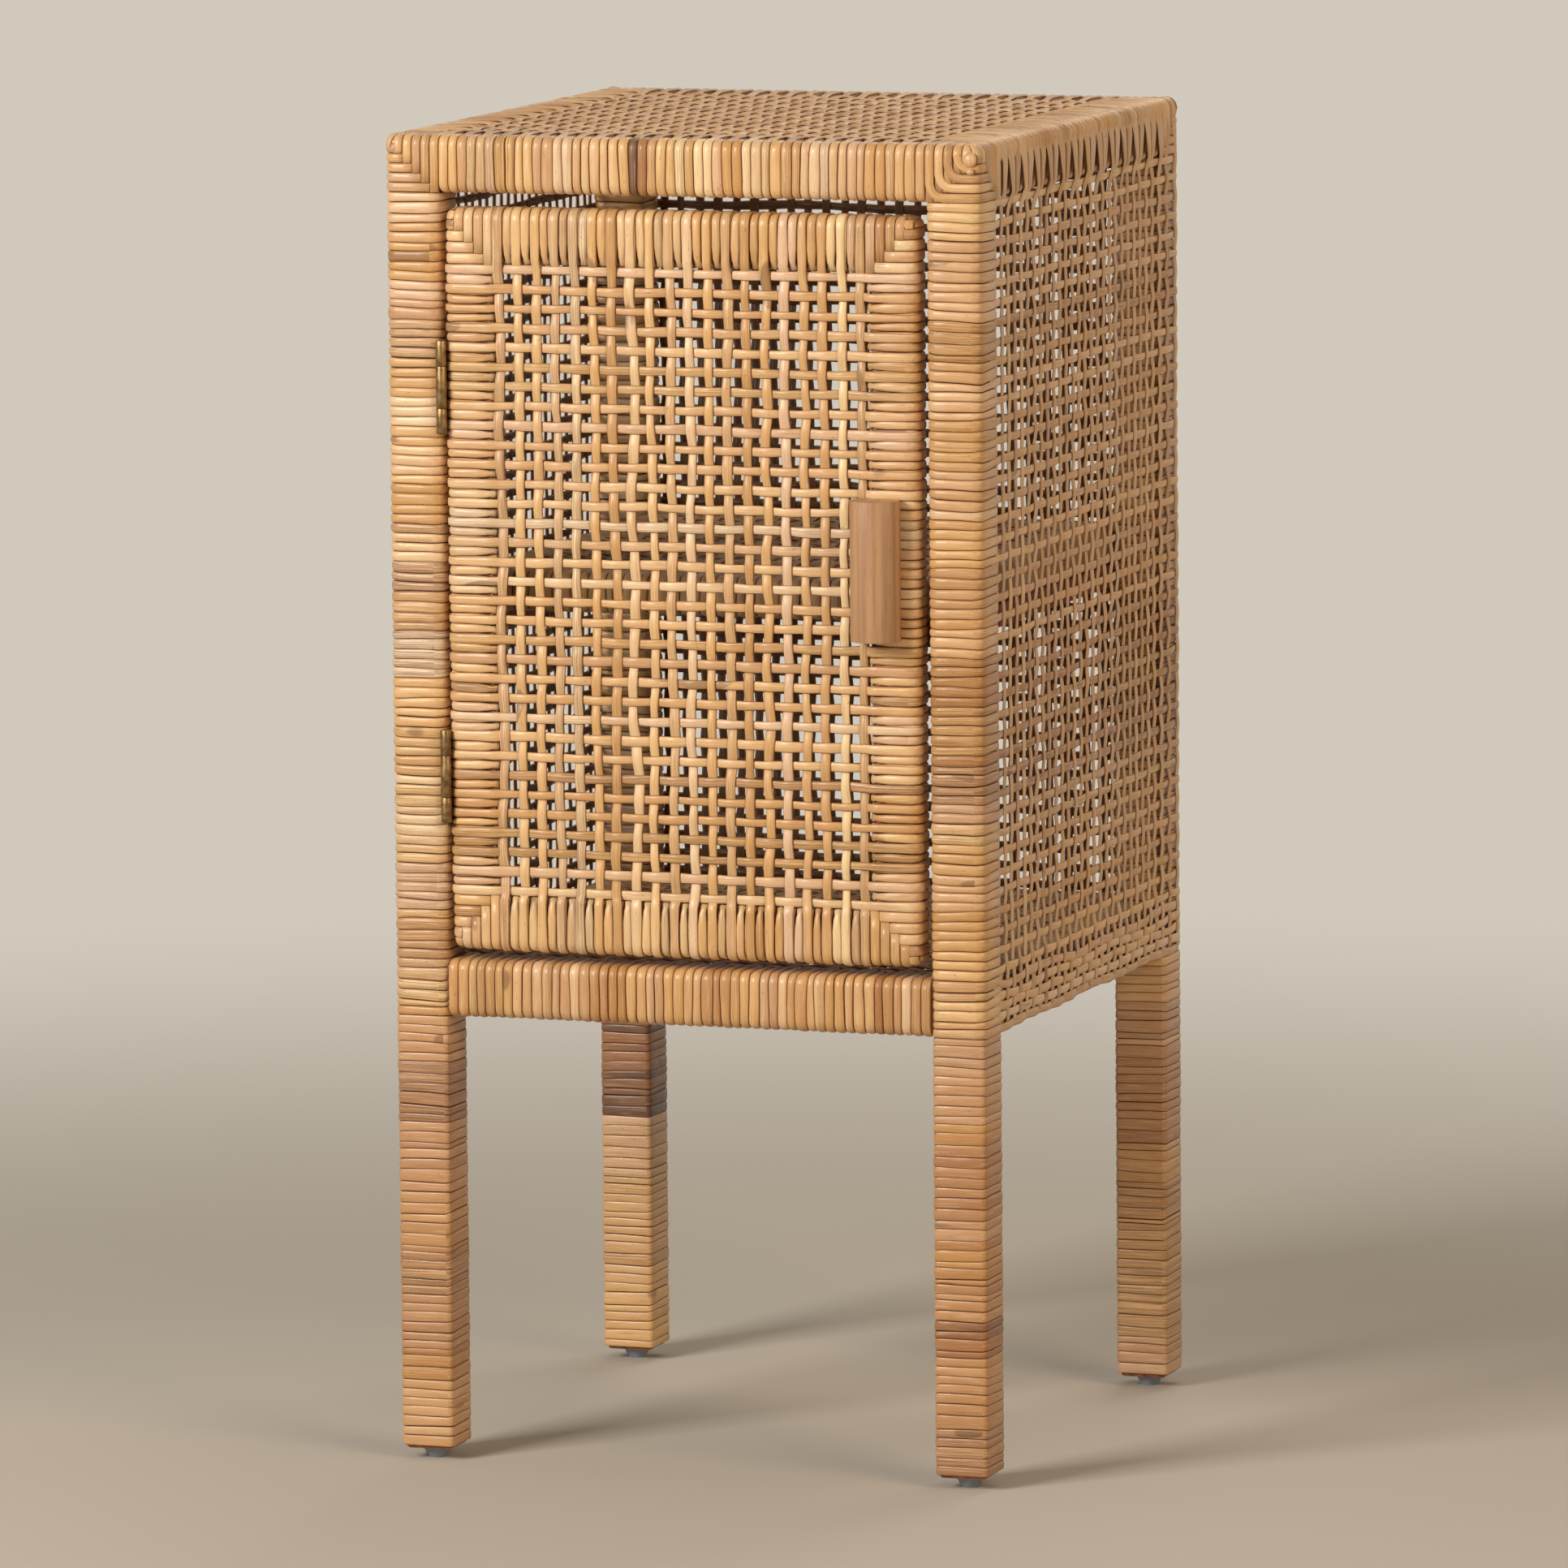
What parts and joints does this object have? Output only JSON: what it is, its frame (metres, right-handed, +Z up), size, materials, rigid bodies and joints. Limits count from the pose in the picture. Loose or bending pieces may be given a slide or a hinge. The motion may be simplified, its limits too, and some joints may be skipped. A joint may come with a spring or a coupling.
{
  "type": "storage side table with door",
  "caption": "Tall square side table on four legs, timber frame wound with cane, open woven cane panels, inner shelf and a hinged front door with a wooden pull.",
  "frame": {"origin": "on the floor, under the middle of the table's outline with the pull included", "axes": "+Z up; the door faces -Y; +X is to the right of someone facing the door"},
  "size_m": [0.336, 0.368, 0.72],
  "materials": {
    "cane": "flat rattan cane, wound side by side, satin",
    "woven_cane": "flat rattan cane, open plain weave, satin",
    "frame_timber": "bare reddish hardwood",
    "pull_wood": "sanded and lightly sealed hardwood",
    "hinge_brass": "antique brass, dull",
    "steel": "zinc plated",
    "catch_plastic": "moulded brown plastic",
    "magnet": "ferrite",
    "glide_plastic": "moulded grey-blue plastic"
  },
  "bodies": {
    "cabinet": {"post_front_left": "frame_timber", "post_front_left_winding": "cane", "post_front_right": "frame_timber", "post_front_right_winding": "cane", "post_back_left": "frame_timber", "post_back_left_winding": "cane", "post_back_right": "frame_timber", "post_back_right_winding": "cane", "rail_bottom_front": "frame_timber", "rail_bottom_front_winding": "cane", "rail_bottom_back": "frame_timber", "rail_bottom_back_winding": "cane", "rail_bottom_left": "frame_timber", "rail_bottom_left_winding": "cane", "rail_bottom_right": "frame_timber", "rail_bottom_right_winding": "cane", "rail_top_front": "frame_timber", "rail_top_front_winding": "cane", "rail_top_back": "frame_timber", "rail_top_back_winding": "cane", "rail_top_left": "frame_timber", "rail_top_left_winding": "cane", "rail_top_right": "frame_timber", "rail_top_right_winding": "cane", "side_panel_left": "woven_cane", "side_panel_right": "woven_cane", "back_panel": "woven_cane", "top_panel": "woven_cane", "floor_panel": "woven_cane", "shelf_frame": "frame_timber", "shelf_windings": "cane", "shelf_panel": "woven_cane", "shelf_bearers": "frame_timber", "glides": "glide_plastic", "glide_nails": "steel", "hinge_lower_frame_leaf": "hinge_brass", "hinge_upper_frame_leaf": "hinge_brass", "hinge_pins": "hinge_brass", "hinge_frame_screws": "hinge_brass", "catch_body": "catch_plastic", "catch_magnet": "magnet", "catch_screw": "steel"},
    "door": {"door_stile_hinge": "frame_timber", "door_stile_hinge_winding": "cane", "door_stile_pull": "frame_timber", "door_stile_pull_winding": "cane", "door_rail_top": "frame_timber", "door_rail_top_winding": "cane", "door_rail_bottom": "frame_timber", "door_rail_bottom_winding": "cane", "door_panel": "woven_cane", "pull": "pull_wood", "pull_screws": "steel", "hinge_lower_door_leaf": "hinge_brass", "hinge_upper_door_leaf": "hinge_brass", "hinge_door_screws": "hinge_brass", "strike_plate": "steel"}
  },
  "joints": [
    {"name": "door_hinge", "type": "hinge", "parent": "cabinet", "child": "door", "pos_m": [-0.1358, -0.166, 0.48], "axis": [0, 0, -1], "range_deg": [0, 170]}
  ]
}
